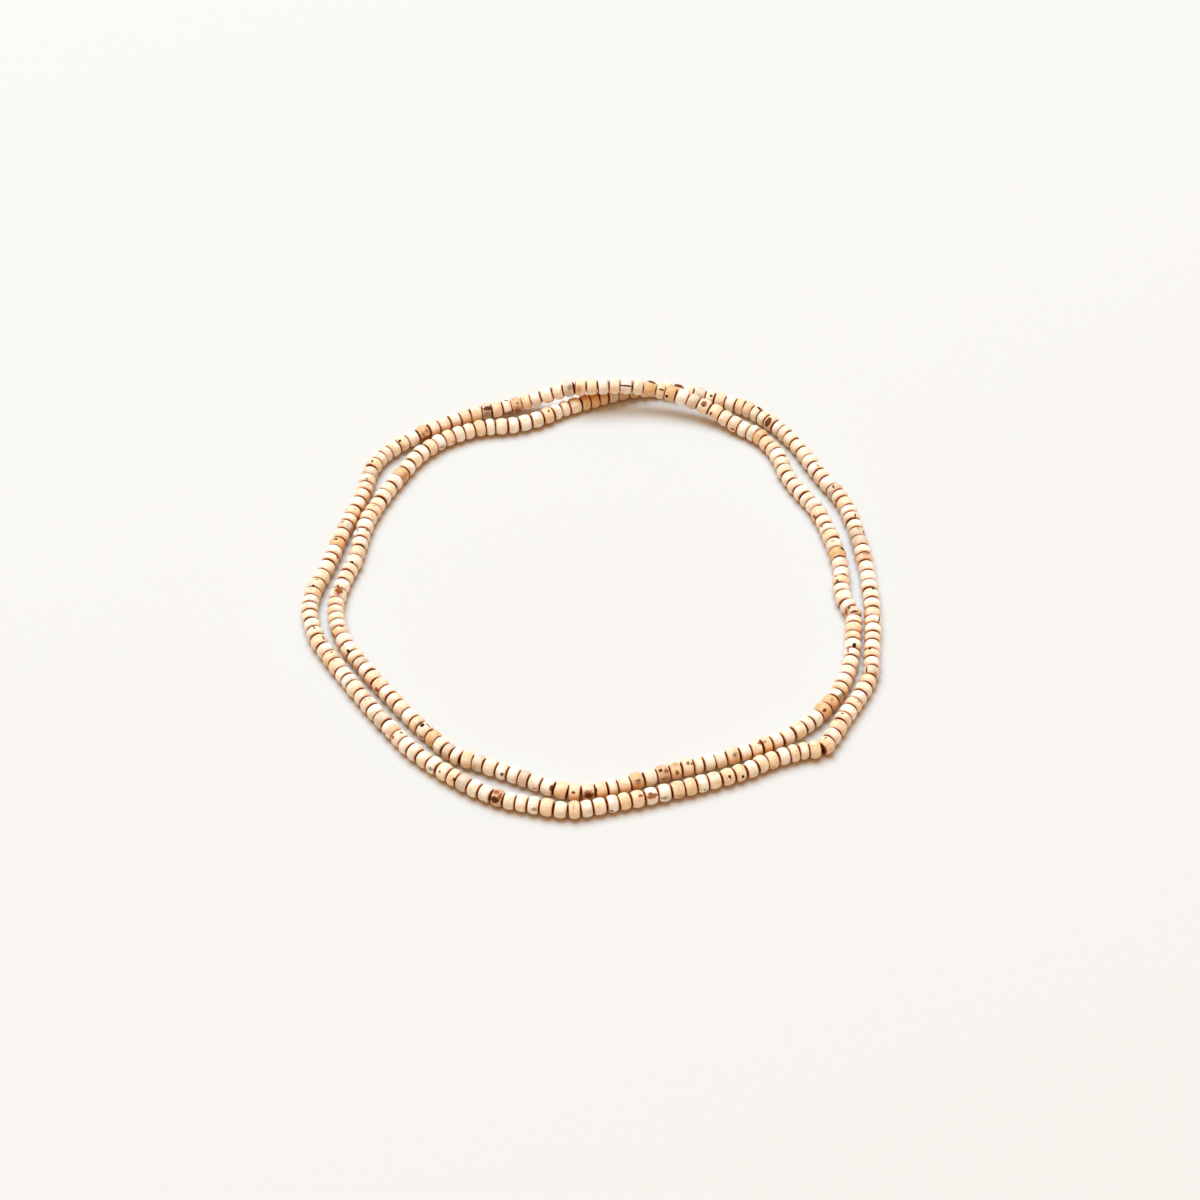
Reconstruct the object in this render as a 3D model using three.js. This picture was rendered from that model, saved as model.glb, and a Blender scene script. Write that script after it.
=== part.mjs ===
// Beaded necklace: one closed strand of small turned wooden beads, laid flat in two turns.
//
// The strand is a single loop about 82 cm long. It is doubled, so it lies as an outer turn and an
// inner turn round one open middle, and it passes over itself once, at the far side. There is no
// clasp and no pendant.
//
// Every bead is a short barrel with a flat belt, rounded shoulders and a narrow waist towards its
// neighbour, where the thread shows. About twelve beads in a row are one solid, a run, and two runs
// keep a small gap to each other. Millimetres, +Z up, the floor at z = 0, the outline's middle at
// the origin.

import * as THREE from 'three';

// ---------------------------------------------------------------- driving dimensions, in mm
const BEAD_RADIUS = 2.0; // from the strand's axis to a bead's belt
const FIRST_BEAD_AT = 1.5; // from the route's first point to the start of the first bead
const RUN_GAP = 0.3; // clear space between the end beads of two runs
const LEVEL_BELOW = 0.12; // a bead less than this far off the floor is laid level on it

const BELT_SHARE = 0.6; // share of a bead's length that is at full radius
const WAIST_SHARE = 0.66; // radius between two beads of a run, as a share of BEAD_RADIUS
const END_SHARE = 0.8; // radius of a run's flat end, as a share of BEAD_RADIUS
const SIDES = 8; // flats round a bead; one of them lies level on the floor
const CURVE_DIVISIONS = 4000; // chords that the loop's length is measured with

// ---------------------------------------------------------------- the beads' lengths
// The beads are turned by hand, in four rough lengths: small, medium, long and extra long.
// All are scaled by one number, about 1, so that together they fill the loop.
const ROUGH_LENGTHS = { s: 2.35, m: 2.8, l: 3.15, x: 3.9 };

// One word for each run of beads that is joined into one solid, one letter for each bead.
const RUN_SIZES = [
  'mmmlmsmsmslm', 'mlmllmmssmmm', 'smlmsmlmmsll', 'lsssmmmlmmlm', 'slmmmlxmmmlm', 'lslmlmmmmllm',
  'mlmmllllmml', 'lmmmmmssmlml', 'smsmmmmmslsms', 'mmlmllsmlmms', 'slsslmmmllms', 'smssssmmslmmm',
  'mmmmmssslssml', 'lmlsmmmmmmml', 'mlmmmmsmlmml', 'lsmllsssssll', 'ssmmlmmllslm', 'mssmmlmmslll',
  'mlmsllllmmsm', 'mlmmsmllsmlm', 'ssmmlslsmsmsl', 'ssllllmsmlms', 'mmmmmmsmssmmm', 'llmlmslmlmmm',
];

// ---------------------------------------------------------------- the strand's route
// The middle of the strand's outline in the table's own coordinates; it becomes the origin.
const OUTLINE_MIDDLE = new THREE.Vector3(-2.15, 1.95, 0);

// The strand's axis as [x, y, z], chosen by hand, in the order that the thread runs.
// z is BEAD_RADIUS where the beads lie on the floor, and more where one turn rides on the other.
const OUTER_TURN = [
  // over the crossing, then down the left side
  [-2, 66.4, 6.6], [-7.5, 66.1, 6.3], [-13.5, 65.9, 4.3], [-20.5, 64.6, 2.3], [-26, 63.1, 2],
  [-31, 61.7, 2], [-41.5, 56.2, 2], [-49.5, 50.5, 2], [-54, 46, 2], [-56.3, 41, 2], [-57.7, 34, 2],
  [-61.5, 22.5, 2], [-65.1, 9.5, 2], [-68, 1, 2], [-68.7, -5, 2], [-67, -13, 2],
  // along the near side
  [-61.5, -22.8, 2], [-48.4, -42, 2], [-42.3, -49.4, 2], [-33, -57, 2], [-23.5, -62.7, 2],
  [-12.5, -65.7, 2], [-6.3, -66.6, 2], [-0.7, -65.5, 2], [10.7, -62.6, 2], [22.5, -59, 2],
  [33.7, -54.7, 2], [38.5, -52, 2], [46, -49.2, 2],
  // the sharp kink, then up the right side
  [50.9, -48, 2], [53.2, -44.8, 2], [57, -37.6, 2], [60.8, -31, 2], [63.1, -25, 2],
  [63.6, -18.5, 2], [64.4, -8, 2], [63.9, 6, 2], [62.5, 17.5, 2], [59.5, 30, 2],
  [53.5, 40.8, 2], [48, 51.5, 2], [42.8, 58, 2], [36.5, 63.5, 2], [28.5, 67, 2], [19, 69.8, 2],
];
const INNER_TURN = [
  // under the crossing, then down the left side
  [12.5, 70.5, 2], [6, 69.5, 2], [0, 67.2, 2], [-8.5, 63.6, 2], [-15.7, 59.6, 2],
  [-21.3, 57.6, 2], [-29.8, 56.3, 2], [-37.5, 53, 2], [-44, 47.5, 2], [-48.5, 40.6, 2],
  [-52.8, 32.7, 2], [-56.6, 23.3, 2], [-58.7, 11.5, 2], [-61.4, 3, 2], [-62.6, -5, 2],
  [-60.4, -14.5, 2],
  // along the near side
  [-54, -25, 2], [-47.2, -34.2, 2], [-40, -43.2, 2], [-33, -50.3, 2], [-28, -52.4, 2],
  [-20, -56, 2], [-6.5, -61.2, 2], [0.5, -60.6, 2], [7.2, -58.3, 2], [18.3, -54.5, 2],
  [29, -51, 2], [39, -46.7, 2],
  // up the right side, with a small double bend
  [46.5, -42, 2], [52, -36.2, 2], [56.2, -29, 2], [58.6, -21.3, 2], [59.6, -12.5, 2],
  [59.9, -7, 2], [58, -2, 2], [57.4, 2, 2], [57.6, 9, 2], [53, 27.2, 2], [49, 34, 2],
  [45.6, 40.5, 2], [43.8, 46.8, 2], [39.8, 53, 2], [36.8, 55.4, 2],
  // rising onto the outer turn again
  [33.8, 57.4, 2.3], [28.5, 60.9, 3.3], [23.3, 63.4, 4.4], [18, 65.2, 5.4], [12.5, 66.4, 6.1],
  [6, 66.9, 6.6],
];

// ---------------------------------------------------------------- where each bead sits
const UP = new THREE.Vector3(0, 0, 1);

// The closed curve that the thread follows.
function strandCurve() {
  const points = [...OUTER_TURN, ...INNER_TURN].map(([x, y, z]) => new THREE.Vector3(x, y, z));
  points.forEach((point) => point.sub(OUTLINE_MIDDLE));
  const curve = new THREE.CatmullRomCurve3(points, true, 'centripetal');
  curve.arcLengthDivisions = CURVE_DIVISIONS;
  return curve;
}

// A bead that all but touches the floor lies level on it.
function settle(centre, along) {
  if (centre.z < BEAD_RADIUS + LEVEL_BELOW) {
    centre.setZ(BEAD_RADIUS);
    along.setZ(0).normalize();
  }
}

// One entry for each bead: its middle, its length, and the directions along and across it.
function placeBeads(curve) {
  const loop = curve.getLength();
  const rough = [...RUN_SIZES.join('')].map((size) => ROUGH_LENGTHS[size]);
  const scale = loop / rough.reduce((sum, length) => sum + length, 0);
  const beads = [];
  let start = FIRST_BEAD_AT;
  for (const roughLength of rough) {
    const length = roughLength * scale;
    const middle = ((start + length / 2) % loop) / loop;
    const centre = curve.getPointAt(middle);
    const along = curve.getTangentAt(middle);
    settle(centre, along);
    const side = new THREE.Vector3().crossVectors(along, UP).normalize();
    const top = new THREE.Vector3().crossVectors(side, along);
    beads.push({ centre, length, along, side, top });
    start += length;
  }
  return beads;
}

// ---------------------------------------------------------------- sections and solids
// A ring of SIDES points round a place on the strand, with flats below, above and at the sides.
function ring(centre, side, top, radius) {
  const corner = radius / Math.cos(Math.PI / SIDES);
  return Array.from({ length: SIDES }, (_, index) => {
    const turn = ((index + 0.5) * 2 * Math.PI) / SIDES;
    return centre
      .clone()
      .addScaledVector(side, corner * Math.cos(turn))
      .addScaledVector(top, corner * Math.sin(turn));
  });
}

// The belt of one bead: two full rings, either side of its middle.
function beltRings(bead) {
  const reach = (bead.length * BELT_SHARE) / 2;
  return [-reach, reach].map((distance) => {
    const centre = bead.centre.clone().addScaledVector(bead.along, distance);
    return ring(centre, bead.side, bead.top, BEAD_RADIUS);
  });
}

// A ring where two neighbouring beads meet, square to the line through both and moved along it.
function ringBetween(before, after, shift, radius) {
  const along = after.centre.clone().sub(before.centre).normalize();
  const side = new THREE.Vector3().crossVectors(along, UP).normalize();
  const top = new THREE.Vector3().crossVectors(side, along);
  const share = before.length / (before.length + after.length);
  const centre = before.centre.clone().lerp(after.centre, share).addScaledVector(along, shift);
  return ring(centre, side, top, radius);
}

// The rings of one run in order: a flat end, then belt and waist by turns, then a flat end.
function runRings(beads, first, count) {
  const last = first + count - 1;
  const before = beads[(first - 1 + beads.length) % beads.length];
  const after = beads[(last + 1) % beads.length];
  const endRadius = BEAD_RADIUS * END_SHARE;
  const rings = [ringBetween(before, beads[first], RUN_GAP / 2, endRadius)];
  for (let index = first; index <= last; index += 1) {
    rings.push(...beltRings(beads[index]));
    if (index < last) {
      rings.push(ringBetween(beads[index], beads[index + 1], 0, BEAD_RADIUS * WAIST_SHARE));
    }
  }
  rings.push(ringBetween(beads[last], after, -RUN_GAP / 2, endRadius));
  return rings;
}

// A closed solid through rings of equal count, with both ends capped flat.
function loftRings(rings) {
  const triangles = [];
  for (let level = 0; level < rings.length - 1; level += 1) {
    for (let index = 0; index < SIDES; index += 1) {
      const here = level * SIDES + index;
      const next = level * SIDES + ((index + 1) % SIDES);
      triangles.push(here, next + SIDES, next, here, here + SIDES, next + SIDES);
    }
  }
  const last = (rings.length - 1) * SIDES;
  for (let index = 1; index < SIDES - 1; index += 1) {
    triangles.push(0, index, index + 1);
    triangles.push(last, last + index + 1, last + index);
  }
  const geometry = new THREE.BufferGeometry().setFromPoints(rings.flat());
  geometry.setIndex(triangles);
  geometry.computeVertexNormals();
  return geometry;
}

// ---------------------------------------------------------------- the necklace
// Pale holy-basil wood: cream with a peach cast, smooth but not polished.
function beadWood() {
  return new THREE.MeshStandardMaterial({ color: 0xf3e0c6, roughness: 0.55, metalness: 0 });
}

function buildNecklace() {
  const necklace = new THREE.Group();
  const beads = placeBeads(strandCurve());
  let first = 0;
  RUN_SIZES.forEach((sizes, index) => {
    const rings = runRings(beads, first, sizes.length);
    const run = new THREE.Mesh(loftRings(rings), beadWood());
    run.name = `bead_run_${String(index + 1).padStart(2, '0')}`;
    necklace.add(run);
    first += sizes.length;
  });
  return necklace;
}

export default buildNecklace();
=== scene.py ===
# Beaded necklace: one closed strand of hand-turned holy-basil wood beads on a cotton thread,
# laid flat in two turns that cross once at the far side.
#
# The file is laid out as a Blender add-on and run as a script. The route and the beads' rough
# lengths are the ones that the solid model is built from, in mm. This file adds what the solid model
# leaves out: 292 separate bored beads, each with its own tone, shape, stains and worm holes, and the
# thread that runs through them. Nothing is moved or resized.

import math
import random

import bmesh
import bpy
import numpy as np
from bpy.props import FloatProperty, FloatVectorProperty, PointerProperty
from mathutils import Matrix, Vector


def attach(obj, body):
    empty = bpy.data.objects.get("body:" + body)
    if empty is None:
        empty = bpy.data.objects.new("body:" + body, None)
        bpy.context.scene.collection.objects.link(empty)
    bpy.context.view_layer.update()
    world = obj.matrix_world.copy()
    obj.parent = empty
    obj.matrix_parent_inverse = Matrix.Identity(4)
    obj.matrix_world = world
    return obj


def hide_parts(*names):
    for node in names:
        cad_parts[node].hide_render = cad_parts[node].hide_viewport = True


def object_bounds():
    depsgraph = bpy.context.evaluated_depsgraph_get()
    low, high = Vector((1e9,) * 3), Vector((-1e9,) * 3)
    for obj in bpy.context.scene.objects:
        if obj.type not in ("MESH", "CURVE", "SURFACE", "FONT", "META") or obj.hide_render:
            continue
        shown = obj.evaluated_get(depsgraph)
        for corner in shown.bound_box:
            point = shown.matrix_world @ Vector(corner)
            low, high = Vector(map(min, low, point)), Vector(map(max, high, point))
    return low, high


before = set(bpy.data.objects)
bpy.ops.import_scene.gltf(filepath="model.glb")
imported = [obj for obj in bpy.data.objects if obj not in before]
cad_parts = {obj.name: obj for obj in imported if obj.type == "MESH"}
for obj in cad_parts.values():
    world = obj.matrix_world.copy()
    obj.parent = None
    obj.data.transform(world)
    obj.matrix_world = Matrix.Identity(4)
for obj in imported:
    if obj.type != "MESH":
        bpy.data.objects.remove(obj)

bl_info = {
    "name": "Beaded necklace",
    "version": (1, 0, 0),
    "blender": (4, 5, 0),
    "location": "3D View > Sidebar > Necklace",
    "description": "Turned wooden beads on a cotton thread, laid in two turns",
    "category": "Object",
}

# ------------------------------------------------------------------ frame and units
CAD_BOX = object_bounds()
MM = 0.001  # metres in a millimetre
UP = Vector((0, 0, 1))

# ------------------------------------------------------------------ the strand's route, in mm
# The middle of the strand's outline in the table's own coordinates; it becomes the origin.
OUTLINE_MIDDLE = Vector((-2.15, 1.95, 0))

# The strand's axis as (x, y, z), in the order that the thread runs.
OUTER_TURN = [
    # over the crossing, then down the left side
    (-2, 66.4, 6.6), (-7.5, 66.1, 6.3), (-13.5, 65.9, 4.3), (-20.5, 64.6, 2.3), (-26, 63.1, 2),
    (-31, 61.7, 2), (-41.5, 56.2, 2), (-49.5, 50.5, 2), (-54, 46, 2), (-56.3, 41, 2),
    (-57.7, 34, 2), (-61.5, 22.5, 2), (-65.1, 9.5, 2), (-68, 1, 2), (-68.7, -5, 2), (-67, -13, 2),
    # along the near side
    (-61.5, -22.8, 2), (-48.4, -42, 2), (-42.3, -49.4, 2), (-33, -57, 2), (-23.5, -62.7, 2),
    (-12.5, -65.7, 2), (-6.3, -66.6, 2), (-0.7, -65.5, 2), (10.7, -62.6, 2), (22.5, -59, 2),
    (33.7, -54.7, 2), (38.5, -52, 2), (46, -49.2, 2),
    # the sharp kink, then up the right side
    (50.9, -48, 2), (53.2, -44.8, 2), (57, -37.6, 2), (60.8, -31, 2), (63.1, -25, 2),
    (63.6, -18.5, 2), (64.4, -8, 2), (63.9, 6, 2), (62.5, 17.5, 2), (59.5, 30, 2),
    (53.5, 40.8, 2), (48, 51.5, 2), (42.8, 58, 2), (36.5, 63.5, 2), (28.5, 67, 2), (19, 69.8, 2),
]
INNER_TURN = [
    # under the crossing, then down the left side
    (12.5, 70.5, 2), (6, 69.5, 2), (0, 67.2, 2), (-8.5, 63.6, 2), (-15.7, 59.6, 2),
    (-21.3, 57.6, 2), (-29.8, 56.3, 2), (-37.5, 53, 2), (-44, 47.5, 2), (-48.5, 40.6, 2),
    (-52.8, 32.7, 2), (-56.6, 23.3, 2), (-58.7, 11.5, 2), (-61.4, 3, 2), (-62.6, -5, 2),
    (-60.4, -14.5, 2),
    # along the near side
    (-54, -25, 2), (-47.2, -34.2, 2), (-40, -43.2, 2), (-33, -50.3, 2), (-28, -52.4, 2),
    (-20, -56, 2), (-6.5, -61.2, 2), (0.5, -60.6, 2), (7.2, -58.3, 2), (18.3, -54.5, 2),
    (29, -51, 2), (39, -46.7, 2),
    # up the right side, with a small double bend
    (46.5, -42, 2), (52, -36.2, 2), (56.2, -29, 2), (58.6, -21.3, 2), (59.6, -12.5, 2),
    (59.9, -7, 2), (58, -2, 2), (57.4, 2, 2), (57.6, 9, 2), (53, 27.2, 2), (49, 34, 2),
    (45.6, 40.5, 2), (43.8, 46.8, 2), (39.8, 53, 2), (36.8, 55.4, 2),
    # rising onto the outer turn again
    (33.8, 57.4, 2.3), (28.5, 60.9, 3.3), (23.3, 63.4, 4.4), (18, 65.2, 5.4), (12.5, 66.4, 6.1),
    (6, 66.9, 6.6),
]
STEPS_BETWEEN_KNOTS = 60  # points of the curve from one route point to the next
DIRECTION_REACH = 0.05  # mm to either side of a point, where the strand's direction is measured

# ------------------------------------------------------------------ the beads, charted
CAD_RADIUS = 2.0  # mm, the belt of a bead in the solid model
FIRST_BEAD_AT = 1.5  # mm from the route's first point to the start of the first bead
LEVEL_BELOW = 0.12  # mm; a bead less than this far off the floor is laid level on it
ROUGH_LENGTHS = {"s": 2.35, "m": 2.8, "l": 3.15, "x": 3.9}  # mm

# One word for each run of beads, one letter for each bead.
RUN_SIZES = (
    "mmmlmsmsmslm mlmllmmssmmm smlmsmlmmsll lsssmmmlmmlm slmmmlxmmmlm lslmlmmmmllm "
    "mlmmllllmml lmmmmmssmlml smsmmmmmslsms mmlmllsmlmms slsslmmmllms smssssmmslmmm "
    "mmmmmssslssml lmlsmmmmmmml mlmmmmsmlmml lsmllsssssll ssmmlmmllslm mssmmlmmslll "
    "mlmsllllmmsm mlmmsmllsmlm ssmmlslsmsmsl ssllllmsmlms mmmmmmsmssmmm llmlmslmlmmm"
).split()

# The tone of each bead's wood: white, cream, peach, tan, grey or brown mottled.
RUN_TONES = (
    "pgcwwpbwpgcp wcctwpccwpgc ccwpwgctwcwc ppwwcwcpwpcw wcccwgwcwwcw cpgwwbwcwpcp "
    "wcwppwwppwc ppwcpwccppwp cwpwcpgwpwcww pwcwwwpcggwc wpcgwcwwccwc wpwcppwpcgctc "
    "ccbbgtttccwpw wwcwpcwpwpwc wtwcwcpcwwwp cccwwcccwpww cgwppwccwpct wgwpgcwwgwwp "
    "pcpwctwbppcw cpwcpwwcwwtt wpwccwwppcgwc wpwctcpwcpwc wcwccwpptwwcc pcgwtptcwcwp"
).split()

# Stains, cracks and holes that show on single beads. One group a run; each row is
# (bead, kind, along, across, length, width): along from -1 to 1 in the thread's direction,
# across from -1 to 1 over the side that faces the stage's camera, outwards from the open middle,
# then the mark's length along the bead and its width round it, in mm.
MARKS = {
    1: [
        (1, "tan", 0.27, -0.2, 1.4, 1.6), (2, "smudge", -0.45, 0.1, 1.0, 1.2),
        (7, "stain", 0.1, -0.8, 1.7, 1.8), (7, "dot", -0.2, 0.15, 0.45, 0.5),
        (8, "stain", 0.0, -0.85, 2.2, 1.2), (8, "crack", -0.2, 0.78, 1.3, 0.3),
        (10, "smudge", 0.0, -0.5, 1.7, 1.5), (10, "burn", -0.1, 0.28, 1.7, 1.0),
        (11, "dot", -0.75, 0.84, 0.5, 0.5),
    ],
    2: [
        (4, "smudge", -0.33, 0.0, 0.9, 0.8), (4, "smudge", 0.46, -0.2, 0.7, 0.7),
        (4, "stain", 0.0, -0.85, 2.6, 1.4), (6, "hole", 0.64, 0.45, 0.55, 0.55),
        (10, "dot", 0.44, 0.4, 0.6, 0.5), (12, "smudge", 0.68, 0.05, 0.7, 0.5),
    ],
    3: [
        (4, "tan", 0.0, -0.1, 0.6, 0.6), (6, "smudge", 0.0, 0.5, 0.8, 0.5),
        (8, "pit", -0.08, 0.35, 0.75, 0.7), (10, "dot", -0.3, -0.67, 0.5, 0.5),
    ],
    4: [
        (1, "dot", -0.38, 0.26, 0.45, 0.45), (1, "hole", 0.95, 0.4, 0.55, 0.6),
        (2, "tan", 0.1, 0.26, 0.6, 0.5), (4, "blush", 0.0, 0.2, 0.8, 0.6),
        (7, "crack", -0.33, -0.3, 1.4, 0.3), (8, "stain", 0.28, -0.78, 1.2, 0.5),
        (10, "dot", -0.13, -0.55, 0.5, 0.4), (11, "tan", -0.5, -0.2, 0.6, 0.6),
    ],
    5: [
        (4, "tan", -0.1, -0.65, 0.6, 0.4), (4, "tan", -0.36, -0.15, 0.6, 0.5),
        (7, "blush", 0.5, -0.2, 1.9, 3.0), (7, "stain", 0.0, 0.87, 0.9, 0.7),
        (8, "dot", 0.09, -0.69, 0.6, 0.5), (8, "dot", -0.43, 0.4, 0.6, 0.6),
        (12, "smudge", 0.4, 0.5, 0.9, 0.7),
    ],
    6: [
        (1, "dot", -0.12, 0.2, 0.5, 0.45), (2, "pit", 0.75, 0.15, 0.4, 0.7),
        (5, "smudge", 0.3, 0.9, 0.8, 0.6), (6, "stain", -0.3, -0.6, 1.2, 0.9),
        (6, "burn", -0.15, 0.28, 1.9, 1.3), (6, "stain", 0.55, -0.3, 0.6, 1.3),
        (9, "smudge", 0.36, 0.4, 1.0, 0.7), (12, "tan", -0.15, -0.4, 0.4, 1.1),
    ],
    7: [
        (3, "dot", -0.48, 0.78, 0.7, 0.5), (5, "stain", 0.37, -0.35, 0.95, 0.6),
        (6, "stain", 0.0, 0.0, 2.3, 1.0), (6, "stain", -0.3, -0.35, 0.9, 0.6),
        (7, "smudge", -0.2, 0.57, 1.4, 0.6), (8, "blush", -0.1, -0.26, 0.5, 1.0),
        (8, "tan", 0.0, 0.75, 1.6, 0.8), (10, "dot", 0.05, 0.75, 0.5, 0.4),
        (11, "blush", 0.0, -0.7, 0.9, 0.5),
    ],
    8: [
        (1, "hole", 0.0, 0.0, 0.62, 0.62), (1, "dot", 0.1, 0.26, 0.3, 0.3),
        (2, "hole", 0.0, 0.5, 0.65, 0.65), (5, "smudge", -0.23, 0.8, 0.7, 0.4),
        (10, "stain", 0.2, -0.7, 0.8, 0.4), (12, "tan", 0.46, -0.7, 0.8, 0.6),
    ],
    9: [
        (1, "stain", 0.0, -0.46, 0.6, 0.5), (3, "tan", 0.3, 0.1, 0.6, 0.7),
        (7, "crack", -0.33, -0.7, 1.5, 0.35), (7, "tan", -0.8, 0.5, 0.8, 0.9),
        (9, "hole", 0.5, -0.28, 0.75, 0.55), (13, "crack", -0.1, 0.66, 1.9, 0.35),
    ],
    10: [
        (3, "hole", 0.5, 0.3, 0.6, 0.6), (7, "hole", 0.18, 0.25, 0.9, 1.4),
        (7, "blush", 0.15, 0.2, 1.9, 2.6), (10, "stain", -0.4, 0.8, 0.7, 0.35),
        (10, "tan", 0.24, 0.25, 1.0, 0.7), (12, "dot", -0.54, 0.53, 0.9, 0.35),
    ],
    11: [
        (4, "pit", -0.1, 0.1, 0.9, 0.5), (7, "tan", -0.43, 0.46, 0.7, 0.5),
        (10, "stain", 0.75, 0.63, 0.8, 0.5),
    ],
    12: [
        (2, "notch", -0.05, -0.2, 1.35, 2.3), (4, "hole", -0.4, 0.74, 1.1, 0.6),
        (9, "dot", -0.37, 0.24, 0.6, 0.6), (12, "burn", 0.0, 0.72, 2.2, 0.9),
    ],
    13: [(12, "stain", -0.13, 0.4, 0.6, 0.6)],
    14: [(8, "tan", -0.36, -0.78, 0.8, 0.6), (9, "smudge", 0.24, -0.78, 1.2, 0.7)],
    15: [
        (2, "tan", 0.23, -0.6, 2.2, 1.5), (7, "tan", -0.2, 0.2, 0.7, 0.5),
        (10, "dot", -0.37, -0.5, 0.5, 0.5), (10, "crack", -0.05, 0.6, 1.1, 0.3),
    ],
    16: [
        (1, "hole", 0.95, 0.2, 0.7, 0.8), (4, "stain", 0.85, 0.5, 0.6, 0.5),
        (5, "hole", -0.1, 0.0, 1.5, 1.3), (5, "stain", -0.1, 0.0, 2.3, 1.7),
        (8, "dot", -0.8, 0.28, 0.4, 0.4), (10, "pit", -0.5, -0.55, 0.6, 0.9),
        (10, "stain", 0.0, 0.85, 1.6, 0.8), (12, "smudge", -0.56, 0.18, 0.5, 0.5),
        (12, "hole", 0.78, 0.13, 0.6, 0.6),
    ],
    17: [
        (5, "stain", 0.6, 0.6, 0.9, 0.8), (11, "hole", -0.4, -0.35, 1.0, 0.95),
        (11, "stain", 0.2, -0.75, 1.4, 0.4), (11, "crack", 0.5, 0.8, 1.1, 0.35),
        (12, "hole", -0.85, -0.7, 0.6, 0.7),
    ],
    18: [
        (7, "dot", 0.45, 0.33, 0.6, 0.6), (10, "tan", 0.37, 0.7, 0.9, 0.8),
        (11, "pit", 0.8, -0.05, 0.6, 1.2),
    ],
    19: [
        (1, "dot", -0.1, 0.0, 0.8, 0.5), (2, "stain", 0.0, 0.3, 2.3, 1.7),
        (2, "burn", -0.05, 0.38, 1.6, 1.0), (3, "pit", -0.9, -0.2, 0.45, 0.8),
        (6, "smudge", 0.0, 0.1, 1.2, 0.9), (6, "crack", 0.1, -0.1, 1.1, 0.22),
        (8, "burn", -0.38, -0.5, 0.7, 0.7), (8, "stain", 0.43, -0.28, 1.0, 0.9),
        (8, "smudge", -0.1, 0.6, 1.4, 0.9), (9, "stain", 0.04, 0.25, 0.95, 0.9),
        (9, "tan", 0.0, -0.7, 1.8, 1.2), (10, "stain", 0.0, -0.5, 0.8, 0.8),
        (10, "dot", 0.64, -0.37, 0.5, 0.5),
    ],
    20: [
        (2, "ring", 0.2, -0.09, 1.3, 1.3), (2, "dot", 0.2, -0.09, 0.45, 0.45),
        (4, "stain", 0.67, -0.65, 0.8, 0.8), (5, "smudge", -0.6, -0.44, 0.7, 0.5),
        (11, "dot", -0.4, 0.0, 0.75, 0.7), (12, "ring", -0.17, -0.2, 0.8, 0.6),
    ],
    21: [
        (1, "smudge", -0.2, 0.45, 1.5, 1.0), (6, "stain", 0.15, -0.58, 1.8, 0.5),
        (7, "hole", -0.72, 0.1, 0.75, 0.8), (11, "stain", 0.1, -0.75, 1.6, 1.2),
        (11, "hole", 0.5, -0.28, 0.6, 0.6), (11, "crack", -0.6, 0.2, 0.35, 1.6),
    ],
    22: [
        (2, "stain", -0.8, -0.58, 0.6, 0.5), (2, "dot", 0.4, -0.7, 0.6, 0.5),
        (3, "stain", -0.85, 0.18, 0.5, 1.2), (5, "hole", 0.28, 0.7, 0.95, 0.8),
        (5, "dot", 0.76, -0.8, 0.6, 0.6), (6, "tan", 0.0, 0.0, 0.8, 0.6),
        (8, "dot", 0.3, -0.48, 0.7, 0.35), (10, "stain", -0.84, -0.75, 1.2, 0.7),
    ],
    23: [(12, "stain", -0.36, -0.74, 0.9, 0.6)],
    24: [
        (1, "pit", 0.36, -0.5, 0.5, 0.9), (2, "stain", 0.03, 0.3, 1.4, 1.4),
        (2, "dot", -0.04, 0.1, 0.6, 0.8), (5, "hole", 0.48, -0.55, 0.65, 0.65),
        (6, "crack", -0.1, 0.13, 1.3, 0.35), (7, "burn", -0.1, 0.88, 1.8, 0.9),
        (9, "crack", 0.0, -0.05, 3.2, 0.36),
    ],
}
MARKS_A_BEAD = 3  # the most marks that one bead has
MARK_REACH = 1.25  # a painted mark's reach, as a share of its size, because its edge fades

# Kinds of mark: colour, edge softness as a share of the mark, strength from 0 to 1, raggedness of
# the outline, and depth in mm (a mark that is cut or bored into the wood).
MARK_KINDS = {
    "hole": ("#1E0F08", 0.25, 1.0, 0.25, 0.7),  # worm hole, near black: painted shade of its bore, with old dust in it
    "pit": ("#5A2A14", 0.35, 0.95, 0.35, 0.45),  # shallow knot hole
    "notch": ("#6B3A16", 0.18, 1.0, 0.2, 0.5),  # chip torn out by the turning tool
    "burn": ("#5A280C", 0.3, 1.0, 0.5, 0.0),  # dark pith or scorched heartwood
    "crack": ("#66290A", 0.5, 1.0, 0.4, 0.15),  # drying split
    "dot": ("#7A3F14", 0.5, 1.0, 0.4, 0.0),  # pin knot
    "stain": ("#9C5520", 0.4, 0.95, 0.7, 0.0),  # orange-brown bark or resin stain
    "ring": ("#9C683C", 0.9, 0.65, 0.3, 0.0),  # halo of a knot
    "smudge": ("#86684F", 0.8, 0.75, 0.6, 0.0),  # grey-brown handling dirt
    "tan": ("#BE8550", 0.9, 0.7, 0.5, 0.0),  # faint tan heartwood
    "blush": ("#E2AC86", 1.0, 0.65, 0.6, 0.0),  # pink-peach heartwood
}

# ------------------------------------------------------------------ how a bead is turned
SIDES = 8  # flats round a bead before it is subdivided
ROUND_SHARE = 0.902  # radius that a subdivided eight-sided ring shrinks to, as a share of its corners
SUBDIVISIONS = 2
SEED = 292  # of every random draw

# One half of the bead's closed outline: share of the half length, share of the radius, and how much
# of the joint's dirt and painted shade that line holds; the same share places the shoulders' painted
# highlight.
HALF_OUTLINE = [
    (0.90, 0.26, 1.0),  # edge of the bore
    (1.04, 0.55, 1.0),  # end face
    (0.89, 0.865, 0.5),  # shoulder
    (0.44, 1.04, 0.0),  # belly
]

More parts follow.
